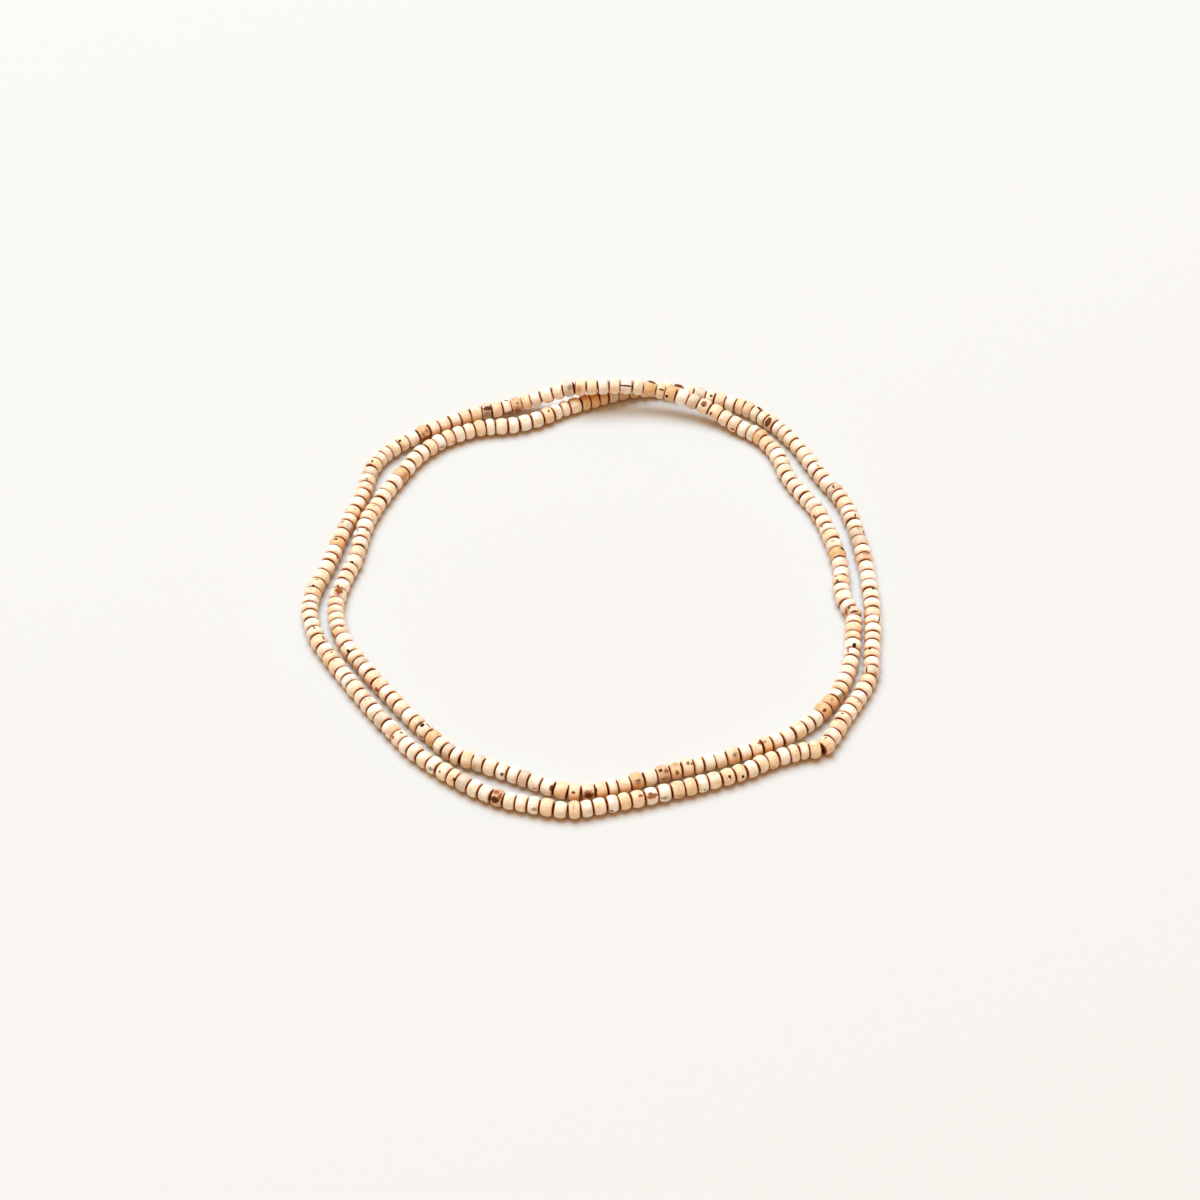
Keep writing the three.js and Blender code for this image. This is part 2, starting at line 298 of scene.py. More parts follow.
# How far hand turning strays from bead to bead.
RADIUS_SPREAD = 0.035  # share of the radius
TAPER_SPREAD = 0.04  # one end against the other
BELLY_DROP = 0.09  # most that the shoulders fall below the belly, on the roundest bead
TILT_SPREAD = math.radians(2.2)  # lean against the thread
DRIFT_SPREAD = 0.07  # mm off the thread's line
TONE_SPREAD = 0.035  # share of brightness
JOINT_GAP = 0.08  # mm between two beads at rest

BELLY_REACH = 1.03  # a subdivided bead's belly, as a share of its radius

# A hole deep enough to be cut into the mesh is sunk into one belly face.
PIT_DEPTH = 0.2  # mm; a shallower mark is only painted
PIT_REACH = 0.25  # furthest from the bead's middle, as a share of the half length
PIT_LENGTH = 1.1  # longest, as a share of the half length
PIT_WIDTH = 1.5  # mm, widest
PIT_RIM = 0.1  # mm, what the face is inset by before it is sunk

NO_MARK = Vector((9, 9, 9))  # place of an empty mark, far outside it
FAR_SIDE = 1.5  # keeps a mark from showing through on the bead's far side
MARK_WANDER = 2.2  # half marks that a full swing of ragged noise moves a mark's outline by
MARK_FADE = 0.6  # reach of a mark's soft edge to each side of its outline, as a share of its softness
GRAIN_ROOM = 400.0  # mm; each bead's grain starts somewhere in a block of this size
FIBRE_HEIGHT = 0.030  # mm, the bump of the raised fibres
RING_HEIGHT = 0.006  # mm, the bump of the rings that the turning tool leaves
MARK_HEIGHT = -0.05  # mm; a mark is sunk
RECESS_SHADE_REACH = 2.5  # mm, how near another surface has to be for a point to take the painted shade of a recess

TONE_NAMES = {
    "w": "white", "c": "cream", "p": "peach", "t": "tan", "g": "grey", "b": "brown",
}

THREAD_RADIUS = 0.42  # mm
THREAD_STEP = 0.8  # mm between two of its sections
TWIST_PITCH = 1.3  # mm of thread to one turn of its plies
THREAD_PLIES = 3

# ------------------------------------------------------------------ stage
KEY_PLACE = Vector((-0.6, 1.56, 4.8))  # metres from the strand's middle
VIEW_TILT = math.radians(47)  # of the stage's camera above the table
VIEW_TO_CAMERA = Vector((0, -math.cos(VIEW_TILT), math.sin(VIEW_TILT)))
AIM_FROM_MIDDLE = -OUTLINE_MIDDLE * MM  # the camera is aimed at the route's own zero point
SENSOR_WIDTH = 36.0  # mm
FLOOR_RADIUS = 3.0  # metres


def linear(hex_colour):
    """An sRGB hex colour as linear red, green, blue and a full alpha."""
    parts = [int(hex_colour[i : i + 2], 16) / 255 for i in (1, 3, 5)]
    return (*[p / 12.92 if p <= 0.04045 else ((p + 0.055) / 1.055) ** 2.4 for p in parts], 1.0)


# ------------------------------------------------------------------ settings
def colour_setting(name, description, hex_colour):
    """A colour that the user can change."""
    return FloatVectorProperty(
        name=name, description=description, default=linear(hex_colour), subtype="COLOR", size=4,
        min=0.0, max=1.0,
    )


class NecklaceSizes(bpy.types.PropertyGroup):
    """Sizes of the beads and the thread."""

    bead_radius: FloatProperty(
        name="Bead radius", description="From the thread's middle to a bead's belly",
        default=CAD_RADIUS * MM, unit="LENGTH", precision=5,
    )
    thread_radius: FloatProperty(
        name="Thread radius", description="Half the thickness of the cotton thread",
        default=THREAD_RADIUS * MM, unit="LENGTH", precision=5,
    )
    joint_gap: FloatProperty(
        name="Joint gap", description="Clear space between two neighbouring beads",
        default=JOINT_GAP * MM, unit="LENGTH", precision=5,
    )


class NecklaceColours(bpy.types.PropertyGroup):
    """Tones of the wood, its painted highlight and painted shade, the dirt between the beads and the
    thread.
    """

    white: colour_setting("White wood", "The palest sapwood", "#FFFAF2")
    cream: colour_setting("Cream wood", "Common sapwood", "#FEF1E0")
    peach: colour_setting("Peach wood", "Sapwood with a pink cast", "#FBE3C6")
    tan: colour_setting("Tan wood", "Wood next to the heart", "#ECC698")
    grey: colour_setting("Grey wood", "Weathered sapwood", "#E3D6C6")
    brown: colour_setting("Mottled wood", "Wood with bark or pith in it", "#E0BD98")
    # painted highlight: a pale ring round each bead's shoulders
    rim_highlight: colour_setting("Rubbed wood", "Shoulders rubbed pale by the next bead", "#FFFBF4")
    # painted shade: the orange tint that the ambient occlusion lays on wood where other surfaces are
    # near
    recess_shade: colour_setting("Oiled wood", "Tint of wood that hands don't rub", "#F1B85E")
    # amber and joint: painted shade that darkens each bead toward its joints, with some dirt held
    # there
    amber: colour_setting("Amber wood", "Wood stained by oil next to a joint", "#E2943E")
    joint: colour_setting("Joint dirt", "Oil and dust held between two beads", "#7A3C0C")
    thread: colour_setting("Thread", "Cotton darkened by oil from the skin", "#8C6239")


class NecklaceStage(bpy.types.PropertyGroup):
    """The floor, the light and the camera."""

    floor: colour_setting("Floor", "Pale matt surface", "#D6D5D4")
    key_colour: colour_setting("Key colour", "Soft lamp overhead", "#D5F0FF")
    fill_colour: colour_setting("Fill colour", "Light that comes from all round", "#FFCB91")
    key_power: FloatProperty(
        name="Key power", description="Power of the overhead lamp", default=378.0, unit="POWER",
    )
    key_size: FloatProperty(
        name="Key size", description="Side of the square overhead lamp", default=4.0,
        unit="LENGTH",
    )
    fill_strength: FloatProperty(
        name="Fill strength", description="Strength of the light from all round", default=0.64,
    )
    camera_distance: FloatProperty(
        name="Camera distance", description="From the camera to the point it is aimed at",
        default=0.85, unit="LENGTH",
    )
    lens: FloatProperty(
        name="Lens", description="Focal length on a 36 mm sensor", default=107.1, unit="CAMERA",
    )


# ------------------------------------------------------------------ the strand
def strand_line():
    """The closed curve that the thread follows, in mm, as close points and the length up to each.

    It is the same curve as the solid model's, a centripetal Catmull-Rom spline.
    """
    knots = np.array([*OUTER_TURN, *INNER_TURN]) - np.array(OUTLINE_MIDDLE)
    steps = np.linspace(0, 1, STEPS_BETWEEN_KNOTS, endpoint=False)[:, None]
    stretches = []
    for index in range(len(knots)):
        before, here, there, after = (knots[(index + k) % len(knots)] for k in (-1, 0, 1, 2))
        gap_in = math.sqrt(np.linalg.norm(here - before))
        gap = math.sqrt(np.linalg.norm(there - here))
        gap_out = math.sqrt(np.linalg.norm(after - there))
        pull_in = (here - before) / gap_in - (there - before) / (gap_in + gap) + (there - here) / gap
        pull_out = (there - here) / gap - (after - here) / (gap + gap_out) + (after - there) / gap_out
        slope_in = pull_in * gap
        slope_out = pull_out * gap
        square = -3 * here + 3 * there - 2 * slope_in - slope_out
        cube = 2 * here - 2 * there + slope_in + slope_out
        stretches.append(here + slope_in * steps + square * steps**2 + cube * steps**3)
    points = np.vstack(stretches)
    points = np.vstack([points, points[:1]])
    reach = np.concatenate([[0.0], np.cumsum(np.linalg.norm(np.diff(points, axis=0), axis=1))])
    return points, reach


def point_at(points, reach, distance):
    """The point of the strand at a distance along it."""
    wrapped = distance % reach[-1]
    return Vector([float(np.interp(wrapped, reach, points[:, k])) for k in range(3)])


def frame_along(points, reach, distance):
    """A point of the strand and the directions along it, sideways and up."""
    centre = point_at(points, reach, distance)
    ahead = point_at(points, reach, distance + DIRECTION_REACH)
    along = ahead - point_at(points, reach, distance - DIRECTION_REACH)
    if centre.z < CAD_RADIUS + LEVEL_BELOW:
        centre.z = CAD_RADIUS
        along.z = 0
    along.normalize()
    side = along.cross(UP).normalized()
    return centre, along, side, side.cross(along)


def place_beads():
    """A list of beads for each run, with a bead's number, place, directions, length in mm and tone."""
    points, reach = strand_line()
    rough = [ROUGH_LENGTHS[size] for size in "".join(RUN_SIZES)]
    scale = reach[-1] / sum(rough)
    runs = []
    start = FIRST_BEAD_AT
    for run, (sizes, tones) in enumerate(zip(RUN_SIZES, RUN_TONES), 1):
        beads = []
        for number, (size, tone) in enumerate(zip(sizes, tones), 1):
            length = ROUGH_LENGTHS[size] * scale
            centre, along, side, top = frame_along(points, reach, start + length / 2)
            beads.append({
                "run": run, "number": number, "length": length, "tone": tone,
                "centre": centre, "along": along, "side": side, "top": top,
            })
            start += length
        runs.append(beads)
    return runs


# ------------------------------------------------------------------ one bead
def bead_blank():
    """A bored barrel bead of half length 1 and radius 1, its axis along X, spun from its outline."""
    outline = HALF_OUTLINE + [(-x, r, dirt_and_shade) for x, r, dirt_and_shade in reversed(HALF_OUTLINE)]
    blank = bmesh.new()
    joint = blank.verts.layers.float.new("joint")
    ring = []
    for x, radius, dirt_and_shade in outline:
        vertex = blank.verts.new((x, 0, radius / ROUND_SHARE))
        vertex[joint] = dirt_and_shade
        ring.append(vertex)
    edges = [blank.edges.new((ring[k], ring[(k + 1) % len(ring)])) for k in range(len(ring))]
    bmesh.ops.spin(
        blank, geom=[*ring, *edges], cent=(0, 0, 0), axis=(1, 0, 0), angle=math.tau, steps=SIDES,
        use_merge=True, use_normal_flip=False, use_duplicate=False,
    )
    bmesh.ops.recalc_face_normals(blank, faces=blank.faces)
    mesh = bpy.data.meshes.new("bead_blank")
    blank.to_mesh(mesh)
    blank.free()
    return mesh


def mark_direction(bead, across):
    """The way from a bead's axis to a mark, as shares of its sideways and up directions."""
    along = bead["along"]
    facing = (VIEW_TO_CAMERA - along * VIEW_TO_CAMERA.dot(along)).normalized()
    outward = along.cross(facing)
    if outward.dot(bead["centre"] * Vector((1, 1, 0))) < 0:
        outward.negate()
    angle = math.asin(max(-1.0, min(1.0, across)))
    way = facing * math.cos(angle) + outward * math.sin(angle)
    return Vector((0, way.dot(bead["side"]), way.dot(bead["top"])))


def bead_marks(bead):
    """The marks of one bead as dictionaries, in the bead's own directions, in mm."""
    marks = []
    for number, kind, along, across, length, width in MARKS.get(bead["run"], []):
        if number == bead["number"]:
            colour, softness, strength, ragged, depth = MARK_KINDS[kind]
            marks.append({
                "along": along * bead["length"] / 2, "way": mark_direction(bead, across),
                "length": length, "width": width, "colour": linear(colour),
                "edge": Vector((softness, strength, ragged)), "depth": depth,
            })
    return marks


def sink_pit(bead_mesh, mark, half_length):
    """Bores one mark into the belly face that looks its way."""
    bead_mesh.normal_update()
    face = max(bead_mesh.faces, key=lambda f: f.normal.dot(mark["way"]) - abs(f.normal.x))
    depth_out = face.calc_center_median().dot(mark["way"])
    reach = PIT_REACH * half_length
    centre = mark["way"] * depth_out
    centre.x = max(-reach, min(reach, mark["along"]))
    around = Vector((1, 0, 0)).cross(mark["way"]).normalized()
    length = min(mark["length"], PIT_LENGTH * half_length)
    width = min(mark["width"], PIT_WIDTH)
    bmesh.ops.inset_individual(bead_mesh, faces=[face], thickness=PIT_RIM, use_even_offset=True)
    middle = face.calc_center_median()
    for vertex in face.verts:
        offset = vertex.co - middle
        vertex.co = (
            centre
            + Vector((math.copysign(length / 2, offset.x), 0, 0))
            + around * math.copysign(width / 2, offset.dot(around))
        )
    floor = bmesh.ops.extrude_discrete_faces(bead_mesh, faces=[face])["faces"]
    corners = list({vertex for part in floor for vertex in part.verts})
    bmesh.ops.translate(bead_mesh, verts=corners, vec=-mark["way"] * mark["depth"])


def shape_bead(bead_mesh, half_length, radius, dice):
    """Gives a blank the length and radius of one bead, with its own taper and belly, in mm."""
    taper = dice.uniform(-1, 1) * TAPER_SPREAD
    drop = dice.random() * BELLY_DROP
    for vertex in bead_mesh.verts:
        share = vertex.co.x
        swell = radius * (1 + taper * share - drop * share * share)
        vertex.co = Vector((share * half_length, vertex.co.y * swell, vertex.co.z * swell))


def paint_bead(bead_mesh, marks, radius, tone, grain_start):
    """Stores what the wood's shader reads: grain coordinates in mm, the tone and the marks."""
    vectors = bead_mesh.verts.layers.float_vector
    grain = vectors.new("grain")
    wood_tone = vectors.new("tone")
    slots = [
        (vectors.new(f"mark_{k}"), vectors.new(f"mark_colour_{k}"), vectors.new(f"mark_edge_{k}"))
        for k in range(MARKS_A_BEAD)
    ]
    for vertex in bead_mesh.verts:
        local = Vector((vertex.co.x, vertex.co.y * ROUND_SHARE, vertex.co.z * ROUND_SHARE))
        vertex[grain] = local + grain_start
        vertex[wood_tone] = tone
        for slot, (place, colour, edge) in enumerate(slots):
            vertex[place] = NO_MARK
            if slot < len(marks):
                mark = marks[slot]
                around = Vector((1, 0, 0)).cross(mark["way"])
                vertex[place] = Vector((
                    (local.x - mark["along"]) * 2 / (mark["length"] * MARK_REACH),
                    local.dot(around) * 2 / (mark["width"] * MARK_REACH),
                    FAR_SIDE * (1 - local.dot(mark["way"]) / radius),
                ))
                vertex[colour] = Vector(mark["colour"][:3])
                vertex[edge] = mark["edge"]


def turn_bead(blank, bead, sizes, tones, dice):
    """One finished bead as a bmesh, in metres and in its place on the thread."""
    half_length = (bead["length"] - sizes.joint_gap / MM) / 2
    radius = sizes.bead_radius / MM * (1 + dice.uniform(-1, 1) * RADIUS_SPREAD)
    brightness = 1 + dice.uniform(-1, 1) * TONE_SPREAD
    tone = Vector(getattr(tones, TONE_NAMES[bead["tone"]])[:3]) * brightness
    grain_start = Vector([dice.uniform(0, GRAIN_ROOM) for _ in range(3)])
    marks = bead_marks(bead)
    bored = [mark for mark in marks if mark["depth"] >= PIT_DEPTH]
    roll = dice.uniform(0, math.tau)
    if bored:
        way = bored[0]["way"]
        roll = math.atan2(-way.y, way.z) - math.pi / SIDES
    bead_mesh = bmesh.new()
    bead_mesh.from_mesh(blank)
    turn = Matrix.Rotation(roll, 3, "X")
    bmesh.ops.rotate(bead_mesh, verts=bead_mesh.verts, cent=(0, 0, 0), matrix=turn)
    shape_bead(bead_mesh, half_length, radius, dice)
    paint_bead(bead_mesh, marks, radius, tone, grain_start)
    if bored:
        sink_pit(bead_mesh, bored[0], half_length)
    lean = Matrix.Rotation(dice.gauss(0, 1) * TILT_SPREAD, 3, "Z")
    nod = Matrix.Rotation(dice.gauss(0, 1) * TILT_SPREAD, 3, "Y")
    bmesh.ops.rotate(bead_mesh, verts=bead_mesh.verts, cent=(0, 0, 0), matrix=lean @ nod)
    centre = bead["centre"] + bead["side"] * dice.uniform(-1, 1) * DRIFT_SPREAD
    centre.z += radius * BELLY_REACH - CAD_RADIUS
    place = Matrix((bead["along"], bead["side"], bead["top"])).transposed().to_4x4()
    place.translation = centre
    place = Matrix.Scale(MM, 4) @ place
    bmesh.ops.transform(bead_mesh, matrix=place, verts=bead_mesh.verts)
    return bead_mesh


# ------------------------------------------------------------------ materials
MIX_FACTOR = 0  # sockets of a colour Mix node
MIX_A = 6
MIX_B = 7
MIX_RESULT = 2

# settings that several nodes share
BLEND = {"data_type": "RGBA", "blend_type": "MIX"}
TINT = {"data_type": "RGBA", "blend_type": "MULTIPLY"}
SMOOTH = {"interpolation_type": "SMOOTHSTEP"}
SCALE_ADD = {"operation": "MULTIPLY_ADD"}


def add_node(tree, kind, settings=None, inputs=None, ramp=None):
    """Adds a node: its own settings, values or sockets for its inputs, and a ramp's stops."""
    node = tree.nodes.new(kind)
    for name, value in (settings or {}).items():
        setattr(node, name, value)
    for socket, value in (inputs or {}).items():
        if isinstance(value, bpy.types.NodeSocket):
            tree.links.new(value, node.inputs[socket])
        else:
            node.inputs[socket].default_value = value
    for stop, (position, hex_colour) in enumerate(ramp or []):
        node.color_ramp.elements[stop].position = position
        node.color_ramp.elements[stop].color = linear(hex_colour)
    return node


def new_material(name):
    """An empty node material and its tree."""
    material = bpy.data.materials.new(name)
    material.use_nodes = True
    material.node_tree.nodes.clear()
    return material, material.node_tree


def finish_material(tree, inputs):
    """Ends a material in a Principled surface with these inputs."""
    surface = add_node(tree, "ShaderNodeBsdfPrincipled", inputs=inputs)
    add_node(tree, "ShaderNodeOutputMaterial", inputs={"Surface": surface.outputs["BSDF"]})


def mark_mask(tree, slot, ragged):
    """How strongly one slot's mark shows at a point, and its colour."""
    place, colour, edge = (
        add_node(tree, "ShaderNodeAttribute", {"attribute_name": f"{name}_{slot}"}).outputs["Vector"]
        for name in ("mark", "mark_colour", "mark_edge")
    )
    edge_parts = add_node(tree, "ShaderNodeSeparateXYZ", inputs={"Vector": edge}).outputs
    softness, strength, raggedness = edge_parts["X"], edge_parts["Y"], edge_parts["Z"]
    spread = add_node(
        tree, "ShaderNodeVectorMath", {"operation": "SUBTRACT"}, {0: ragged, 1: (0.5, 0.5, 0.5)},
    ).outputs["Vector"]
    wander = add_node(
        tree, "ShaderNodeVectorMath", {"operation": "SCALE"}, {0: spread, "Scale": raggedness},
    ).outputs["Vector"]
    moved = add_node(
        tree, "ShaderNodeVectorMath", SCALE_ADD, {0: wander, 1: (MARK_WANDER,) * 3, 2: place},
    ).outputs["Vector"]
    distance = add_node(
        tree, "ShaderNodeVectorMath", {"operation": "LENGTH"}, {0: moved},
    ).outputs["Value"]
    inner, outer = (
        add_node(tree, "ShaderNodeMath", SCALE_ADD, {0: softness, 1: fade, 2: 1.0}).outputs["Value"]
        for fade in (-MARK_FADE, MARK_FADE)
    )
    mask = add_node(
        tree, "ShaderNodeMapRange", SMOOTH,
        {"Value": distance, "From Min": inner, "From Max": outer, "To Min": strength, "To Max": 0.0},
    ).outputs["Result"]
    return mask, colour


def wood_patterns(tree, grain):
    """The wood's fibres, clouds and tool rings, and the noise that frays marks and dirt."""
    # fibres run along the bead: streaks about 0.4 mm apart and 3 mm long, the real ones being finer
    stretched = add_node(
        tree, "ShaderNodeMapping", inputs={"Vector": grain, "Scale": (0.3, 2.4, 2.4)},
    ).outputs["Vector"]
    fibre = add_node(
        tree, "ShaderNodeTexNoise",
        inputs={"Vector": stretched, "Scale": 1.0, "Detail": 4.0, "Roughness": 0.6},
    ).outputs["Fac"]
    # clouds of sap colour, about 2 mm across
    cloud = add_node(
        tree, "ShaderNodeTexNoise",
        inputs={"Vector": grain, "Scale": 0.55, "Detail": 2.0, "Roughness": 0.5},
    ).outputs["Fac"]
    # rings that the turning tool leaves, about 0.3 mm apart
    rings = add_node(
        tree, "ShaderNodeTexWave", {"bands_direction": "X", "wave_profile": "SIN"},
        {"Vector": grain, "Scale": 1.05, "Distortion": 1.2, "Detail": 2.0, "Detail Scale": 0.6},
    ).outputs["Fac"]
    # ragged outlines of marks and dirt, about 0.4 mm
    ragged = add_node(
        tree, "ShaderNodeTexNoise",
        inputs={"Vector": grain, "Scale": 2.4, "Detail": 3.0, "Roughness": 0.6},
    ).outputs
    return fibre, cloud, rings, ragged


def paint_highlight_shade_and_dirt(tree, colour, fray, colours):
    """Adds painted light and dirt to a bead's colour: a painted highlight on the shoulders, painted
    shade with some dirt toward the joints, and painted shade in the recesses.
    """
    dirt_and_shade = add_node(tree, "ShaderNodeAttribute", {"attribute_name": "joint"}).outputs["Fac"]
    # painted highlight: the shoulders are paler than the belly
    painted_highlight = add_node(
        tree, "ShaderNodeMapRange", SMOOTH,
        {"Value": dirt_and_shade, "From Min": 0.26, "From Max": 0.46, "To Min": 0.0, "To Max": 0.8},
    ).outputs["Result"]
    colour = add_node(
        tree, "ShaderNodeMix", BLEND, {MIX_FACTOR: painted_highlight, MIX_A: colour, MIX_B: colours.rim_highlight},
    ).outputs[MIX_RESULT]
    # painted shade with some dirt: the wood darkens toward the joints in an uneven line, amber first
    # and brown inside
    frayed_dirt_and_shade = add_node(
        tree, "ShaderNodeMath", SCALE_ADD, {0: fray, 1: 0.24, 2: dirt_and_shade},
    ).outputs["Value"]
    for first, full, most, dirt_and_shade_colour in (
        (0.46, 0.72, 0.90, colours.amber), (0.66, 0.86, 0.97, colours.joint),
    ):
        dirt_and_shade_mask = add_node(
            tree, "ShaderNodeMapRange", SMOOTH,
            {"Value": frayed_dirt_and_shade, "From Min": first, "From Max": full, "To Min": 0.0, "To Max": most},
        ).outputs["Result"]
        colour = add_node(
            tree, "ShaderNodeMix", BLEND, {MIX_FACTOR: dirt_and_shade_mask, MIX_A: colour, MIX_B: dirt_and_shade_colour},
        ).outputs[MIX_RESULT]
    # painted shade: wood where other surfaces are near is tinted darker and orange, in recesses,
    # between beads and next to the floor
    openness = add_node(
        tree, "ShaderNodeAmbientOcclusion", {"samples": 8}, {"Distance": RECESS_SHADE_REACH * MM},
    ).outputs["AO"]
    recess_shade = add_node(
        tree, "ShaderNodeMapRange", SMOOTH,
        {"Value": openness, "From Min": 0.2, "From Max": 0.88, "To Min": 0.85, "To Max": 0.0},
    ).outputs["Result"]
    return add_node(
        tree, "ShaderNodeMix", TINT, {MIX_FACTOR: recess_shade, MIX_A: colour, MIX_B: colours.recess_shade},
    ).outputs[MIX_RESULT]


def turned_wood(colours):
    """Holy-basil twig wood, turned on a small lathe and worn smooth by handling.

    It gives the eye a pale satin surface with soft lengthwise fibres, faint mottling, a painted
    highlight on the shoulders, orange-brown painted shade with some dirt where two beads meet, a
    warmer painted shade in the recesses, and the stains, splits and worm holes of single beads.
    """
    material, tree = new_material("turned_holy_basil_wood")
    grain = add_node(tree, "ShaderNodeAttribute", {"attribute_name": "grain"}).outputs["Vector"]
    tone = add_node(tree, "ShaderNodeAttribute", {"attribute_name": "tone"}).outputs["Vector"]
    fibre, cloud, rings, ragged = wood_patterns(tree, grain)

    colour = tone
    for pattern, dark_end, dark, pale_end, share in (
        (fibre, 0.30, "#E8D2B2", 0.54, 0.6), (cloud, 0.34, "#F0DEC0", 0.56, 0.7),
    ):
        tint = add_node(
            tree, "ShaderNodeValToRGB", inputs={"Fac": pattern},
            ramp=[(dark_end, dark), (pale_end, "#FFFFFF")],
        ).outputs["Color"]
        colour = add_node(
            tree, "ShaderNodeMix", TINT, {MIX_FACTOR: share, MIX_A: colour, MIX_B: tint},
        ).outputs[MIX_RESULT]
    colour = paint_highlight_shade_and_dirt(tree, colour, ragged["Fac"], colours)

    rough = add_node(
        tree, "ShaderNodeMath", SCALE_ADD, {0: cloud, 1: 0.16, 2: 0.32},
    ).outputs["Value"]
    height = add_node(
        tree, "ShaderNodeMath", SCALE_ADD, {0: fibre, 1: FIBRE_HEIGHT, 2: 0.0},
    ).outputs["Value"]
    height = add_node(
        tree, "ShaderNodeMath", SCALE_ADD, {0: rings, 1: RING_HEIGHT, 2: height},
    ).outputs["Value"]
    for slot in range(MARKS_A_BEAD):
        mask, mark_colour = mark_mask(tree, slot, ragged["Color"])
        colour = add_node(
            tree, "ShaderNodeMix", BLEND, {MIX_FACTOR: mask, MIX_A: colour, MIX_B: mark_colour},
        ).outputs[MIX_RESULT]
        height = add_node(
            tree, "ShaderNodeMath", SCALE_ADD, {0: mask, 1: MARK_HEIGHT, 2: height},
        ).outputs["Value"]
        rough = add_node(
            tree, "ShaderNodeMath", SCALE_ADD, {0: mask, 1: 0.2, 2: rough},
        ).outputs["Value"]
    bump = add_node(
        tree, "ShaderNodeBump", inputs={"Strength": 0.6, "Distance": MM, "Height": height},
    ).outputs["Normal"]
    finish_material(tree, {
        "Base Color": colour, "Roughness": rough, "Normal": bump, "IOR": 1.5,
        "Specular IOR Level": 0.25, "Subsurface Weight": 0.3,
        "Subsurface Radius": (1.0, 0.45, 0.15), "Subsurface Scale": MM,
    })
    return material


def waxed_cotton(colours):
    """Twisted cotton thread, waxed to run through the bores and darkened by oil from the skin.

    It gives the eye a dull brown line with slanting plies in the gaps between two beads.
    """
    material, tree = new_material("waxed_cotton_thread")
    lay = add_node(tree, "ShaderNodeUVMap", {"uv_map": "UVMap"}).outputs["UV"]
    plies = add_node(
        tree, "ShaderNodeTexWave", {"bands_direction": "DIAGONAL", "wave_profile": "SIN"},
        {"Vector": lay, "Scale": 1.0, "Distortion": 0.4, "Detail": 2.0},
    ).outputs["Fac"]
    colour = add_node(
        tree, "ShaderNodeMix", TINT, {MIX_FACTOR: 0.6, MIX_A: colours.thread, MIX_B: plies},
    ).outputs[MIX_RESULT]
    bump = add_node(
        tree, "ShaderNodeBump", inputs={"Strength": 0.8, "Distance": 0.08 * MM, "Height": plies},
    ).outputs["Normal"]
    finish_material(tree, {"Base Color": colour, "Roughness": 0.75, "Normal": bump, "IOR": 1.47})
    return material


def pale_floor(colour):
    """Matt painted board: an even pale surface with no shine and no pattern of its own."""
    material, tree = new_material("matt_painted_board")
    place = add_node(tree, "ShaderNodeTexCoord").outputs["Object"]
    tooth = add_node(
        tree, "ShaderNodeTexNoise", inputs={"Vector": place, "Scale": 900.0, "Detail": 2.0},
    ).outputs["Fac"]
    bump = add_node(
        tree, "ShaderNodeBump", inputs={"Strength": 0.05, "Distance": 0.1 * MM, "Height": tooth},
    ).outputs["Normal"]
    finish_material(tree, {
        "Base Color": colour, "Roughness": 0.9, "Normal": bump, "Specular IOR Level": 0.2,
    })
    return material


# ------------------------------------------------------------------ operators
def show(mesh, name, material):
    """Links a mesh to the scene as an object at the origin, with one material."""
    piece = bpy.data.objects.new(name, mesh)
    mesh.materials.append(material)
    bpy.context.scene.collection.objects.link(piece)
    return piece


class NECKLACE_OT_beads(bpy.types.Operator):
    """Turns the 292 beads and strings them in the runs of the solid model"""

    bl_idname = "necklace.beads"
    bl_label = "Beads"

    def execute(self, context):
        sizes = context.scene.necklace_sizes
        colours = context.scene.necklace_colours
        wood = turned_wood(colours)
        blank = bead_blank()
        dice = random.Random(SEED)
        for run, beads in enumerate(place_beads(), 1):
            strung = bmesh.new()
            for bead in beads:
                turned = turn_bead(blank, bead, sizes, colours, dice)
                mesh = bpy.data.meshes.new("turned")
                turned.to_mesh(mesh)
                turned.free()
                strung.from_mesh(mesh)
                bpy.data.meshes.remove(mesh)
            mesh = bpy.data.meshes.new(f"beads_{run:02d}")
            strung.to_mesh(mesh)
            strung.free()
            mesh.shade_smooth()
            piece = show(mesh, f"beads_{run:02d}", wood)
            rounding = piece.modifiers.new("rounding", "SUBSURF")
            rounding.levels = SUBDIVISIONS
            rounding.render_levels = SUBDIVISIONS
            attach(piece, "root")
            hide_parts(f"bead_run_{run:02d}")
        bpy.data.meshes.remove(blank)
        return {"FINISHED"}


class NECKLACE_OT_thread(bpy.types.Operator):
    """Runs the cotton thread through every bead, as one closed loop"""

    bl_idname = "necklace.thread"
    bl_label = "Thread"

    def execute(self, context):
        points, reach = strand_line()
        count = round(reach[-1] / THREAD_STEP)
        curve = bpy.data.curves.new("thread_line", "CURVE")
        curve.dimensions = "3D"
        curve.bevel_depth = context.scene.necklace_sizes.thread_radius
        curve.bevel_resolution = 2
        spline = curve.splines.new("POLY")
        spline.points.add(count - 1)
        spline.use_cyclic_u = True
        for index, point in enumerate(spline.points):
            place = point_at(points, reach, index * reach[-1] / count) * MM
            point.co = (*place, 1)
        line = bpy.data.objects.new("thread_line", curve)
        context.scene.collection.objects.link(line)
        context.view_layer.update()
        mesh = bpy.data.meshes.new_from_object(line.evaluated_get(context.evaluated_depsgraph_get()))
        bpy.data.objects.remove(line)
        mesh.name = "thread"
        stretch = reach[-1] / TWIST_PITCH
        for corner in mesh.uv_layers["UVMap"].data:
            corner.uv = (corner.uv.x * stretch, corner.uv.y * THREAD_PLIES)
        mesh.shade_smooth()
        mesh.materials.clear()
        piece = show(mesh, "thread", waxed_cotton(context.scene.necklace_colours))
        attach(piece, "root")
        return {"FINISHED"}


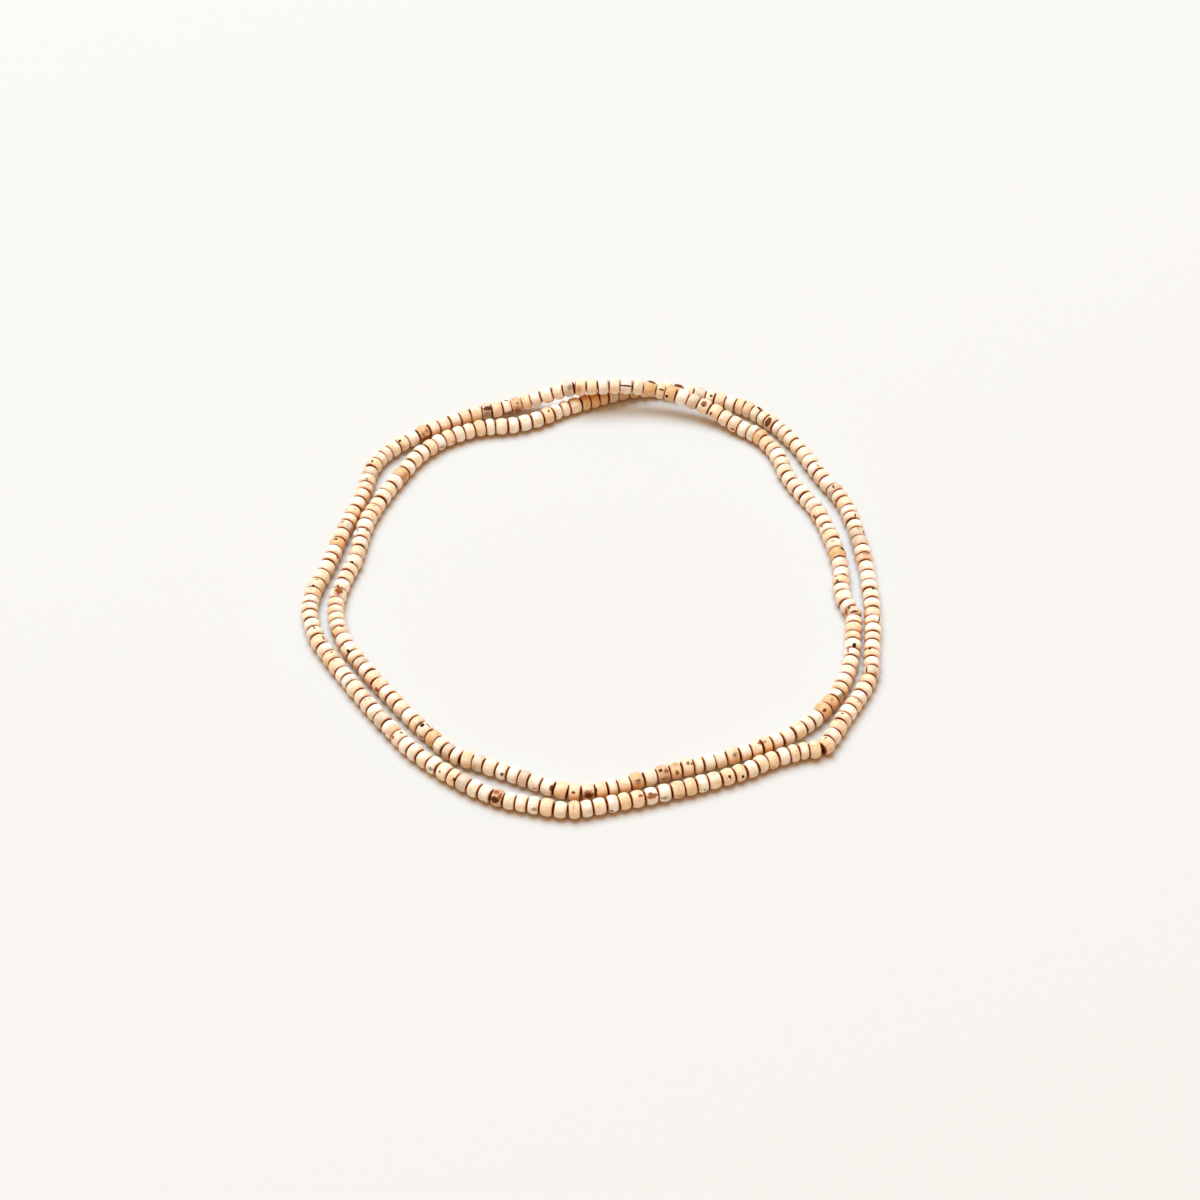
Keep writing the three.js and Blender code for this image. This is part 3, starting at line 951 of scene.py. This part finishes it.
class NECKLACE_OT_stage(bpy.types.Operator):
    """Lays a pale floor and sets up the soft light and the camera"""

    bl_idname = "necklace.stage"
    bl_label = "Stage"

    def execute(self, context):
        scene = context.scene
        stage = scene.necklace_stage
        sheet = bmesh.new()
        bmesh.ops.create_circle(sheet, cap_ends=True, segments=64, radius=FLOOR_RADIUS)
        mesh = bpy.data.meshes.new("floor")
        sheet.to_mesh(mesh)
        sheet.free()
        show(mesh, "floor", pale_floor(stage.floor))

        lamp = bpy.data.lights.new("key", "AREA")
        lamp.shape = "SQUARE"
        lamp.size = stage.key_size
        lamp.energy = stage.key_power
        lamp.color = stage.key_colour[:3]
        key = bpy.data.objects.new("key", lamp)
        key.location = KEY_PLACE
        key.rotation_euler = (-KEY_PLACE).to_track_quat("-Z", "Y").to_euler()
        scene.collection.objects.link(key)

        world = bpy.data.worlds.new("fill")
        world.use_nodes = True
        world.node_tree.nodes.clear()
        glow = add_node(
            world.node_tree, "ShaderNodeBackground",
            inputs={"Color": stage.fill_colour, "Strength": stage.fill_strength},
        )
        add_node(
            world.node_tree, "ShaderNodeOutputWorld", inputs={"Surface": glow.outputs["Background"]},
        )
        scene.world = world
        scene.view_settings.view_transform = "Standard"

        low, high = CAD_BOX
        aim = Vector(((low.x + high.x) / 2, (low.y + high.y) / 2, low.z)) + AIM_FROM_MIDDLE
        eye = bpy.data.cameras.new("camera")
        eye.lens = stage.lens
        eye.sensor_width = SENSOR_WIDTH
        camera = bpy.data.objects.new("camera", eye)
        camera.location = aim + VIEW_TO_CAMERA * stage.camera_distance
        camera.rotation_euler = (-VIEW_TO_CAMERA).to_track_quat("-Z", "Y").to_euler()
        scene.collection.objects.link(camera)
        scene.camera = camera
        return {"FINISHED"}


class NECKLACE_PT_panel(bpy.types.Panel):
    """Lists the pieces of the necklace and their settings"""

    bl_idname = "NECKLACE_PT_panel"
    bl_label = "Beaded necklace"
    bl_space_type = "VIEW_3D"
    bl_region_type = "UI"
    bl_category = "Necklace"

    def draw(self, context):
        layout = self.layout
        for operator in OPERATORS:
            layout.operator(operator.bl_idname)
        for group in ("necklace_sizes", "necklace_colours", "necklace_stage"):
            settings = getattr(context.scene, group)
            box = layout.box()
            for name in settings.bl_rna.properties.keys():
                if name not in ("rna_type", "name"):
                    box.prop(settings, name)


SETTINGS = {
    "necklace_sizes": NecklaceSizes,
    "necklace_colours": NecklaceColours,
    "necklace_stage": NecklaceStage,
}
OPERATORS = (NECKLACE_OT_stage, NECKLACE_OT_beads, NECKLACE_OT_thread)
CLASSES = (*SETTINGS.values(), *OPERATORS, NECKLACE_PT_panel)


def register():
    """Adds the settings, the operators and the panel."""
    for kind in CLASSES:
        bpy.utils.register_class(kind)
    for name, kind in SETTINGS.items():
        setattr(bpy.types.Scene, name, PointerProperty(type=kind))


def unregister():
    """Takes them away again."""
    for name in SETTINGS:
        delattr(bpy.types.Scene, name)
    for kind in reversed(CLASSES):
        bpy.utils.unregister_class(kind)


def main():
    """Builds the whole scene."""
    register()
    bpy.ops.necklace.stage()
    bpy.ops.necklace.beads()
    bpy.ops.necklace.thread()


if __name__ == "__main__":
    main()
